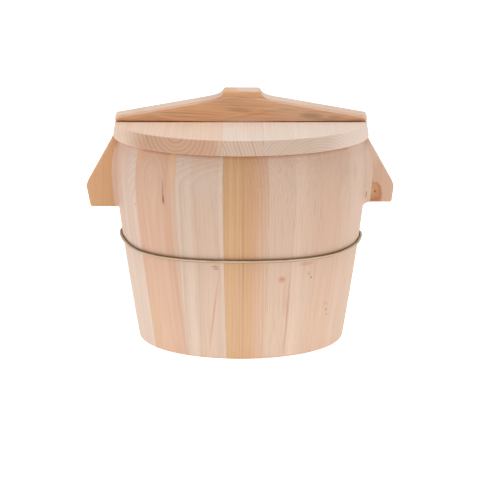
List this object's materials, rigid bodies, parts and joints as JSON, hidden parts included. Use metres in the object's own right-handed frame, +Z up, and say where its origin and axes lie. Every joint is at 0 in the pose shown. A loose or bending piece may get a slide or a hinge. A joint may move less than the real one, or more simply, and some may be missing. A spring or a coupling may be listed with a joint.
{
  "type": "wooden rice steamer bucket",
  "caption": "Coopered wooden rice steamer bucket with ear grips, a wire hoop, a lift-off lid with a batten handle and a slatted steaming grate inside.",
  "frame": {"origin": "on the floor, at the bucket's axis", "axes": "+Z up along the bucket's axis, +X through the right ear, -Y towards the viewer of the picture"},
  "size_m": [0.2485, 0.207, 0.2035],
  "materials": {
    "pale_stave": "bare planed fir, pale pinkish tan",
    "grey_stave": "bare planed fir, paler and greyer",
    "honey_stave": "bare planed fir, honey heartwood",
    "ear_wood": "bare planed fir, warm tan",
    "lid_board": "bare sanded fir, cream",
    "handle_wood": "bare planed fir, orange brown",
    "grate_wood": "bare sawn fir",
    "bamboo": "split bamboo",
    "steel_wire": "drawn wire, slightly dulled"
  },
  "bodies": {
    "bucket": {"stave_front_1": "pale_stave", "stave_front_2": "pale_stave", "stave_front_3": "grey_stave", "stave_front_4": "honey_stave", "stave_front_5": "pale_stave", "stave_front_6": "pale_stave", "stave_front_7": "pale_stave", "stave_front_8": "pale_stave", "stave_back_1": "pale_stave", "stave_back_2": "honey_stave", "stave_back_3": "pale_stave", "stave_back_4": "pale_stave", "stave_back_5": "pale_stave", "stave_back_6": "grey_stave", "stave_back_7": "honey_stave", "stave_back_8": "pale_stave", "ear_stave_left": "ear_wood", "ear_stave_right": "ear_wood", "wire_hoop": "steel_wire", "stave_dowel_1": "bamboo", "stave_dowel_2": "bamboo", "stave_dowel_3": "bamboo", "stave_dowel_4": "bamboo", "stave_dowel_5": "bamboo", "stave_dowel_6": "bamboo", "stave_dowel_7": "bamboo", "stave_dowel_8": "bamboo", "stave_dowel_9": "bamboo", "stave_dowel_10": "bamboo", "stave_dowel_11": "bamboo", "stave_dowel_12": "bamboo", "stave_dowel_13": "bamboo", "stave_dowel_14": "bamboo", "stave_dowel_15": "bamboo", "stave_dowel_16": "bamboo", "stave_dowel_17": "bamboo", "stave_dowel_18": "bamboo"},
    "lid": {"lid_board_left": "lid_board", "lid_board_middle": "lid_board", "lid_board_right": "lid_board", "lid_handle": "handle_wood", "lid_dowel_1": "bamboo", "lid_dowel_2": "bamboo", "lid_dowel_3": "bamboo", "lid_dowel_4": "bamboo"},
    "grate": {"grate_slat_1": "grate_wood", "grate_slat_2": "grate_wood", "grate_slat_3": "grate_wood", "grate_slat_4": "grate_wood", "grate_slat_5": "grate_wood", "grate_slat_6": "grate_wood", "grate_batten_front": "grate_wood", "grate_batten_back": "grate_wood"}
  },
  "joints": [
    {"name": "lid_lift", "type": "slide", "parent": "bucket", "child": "lid", "axis": [0, 0, 1], "range_m": [0, 0.2]},
    {"name": "grate_lift", "type": "slide", "parent": "bucket", "child": "grate", "axis": [0, 0, 1], "range_m": [0, 0.125]}
  ]
}
